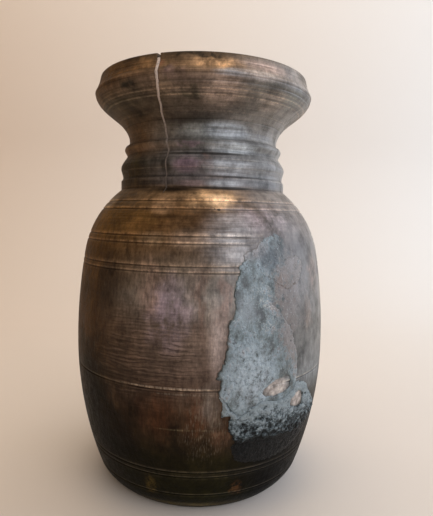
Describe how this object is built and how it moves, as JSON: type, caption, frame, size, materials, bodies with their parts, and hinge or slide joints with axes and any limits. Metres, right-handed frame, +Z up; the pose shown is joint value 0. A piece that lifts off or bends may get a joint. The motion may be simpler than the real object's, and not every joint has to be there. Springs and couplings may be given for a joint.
{
  "type": "turned wooden pot",
  "caption": "Hollow turned wooden storage pot with a ringed neck and flared lip, a filled drying split and old pitch repairs on its belly.",
  "frame": {"origin": "centre of the foot, on the surface that the pot stands on", "axes": "+Z up along the turning axis; the pitch repairs and the split are on the -Y side, with +X to the right as seen from there"},
  "size_m": [0.166, 0.1664, 0.2616],
  "materials": {
    "turned_wood": "satin",
    "split_filler": "matte",
    "pitch_smooth": "satin",
    "pitch_rough": "satin"
  },
  "bodies": {
    "root": {"turned_vessel": "turned_wood", "split_filler": "split_filler", "pitch_sheet": "pitch_smooth", "pitch_crust": "pitch_rough", "pitch_skirt": "pitch_rough", "pitch_smear": "pitch_smooth"}
  },
  "joints": []
}
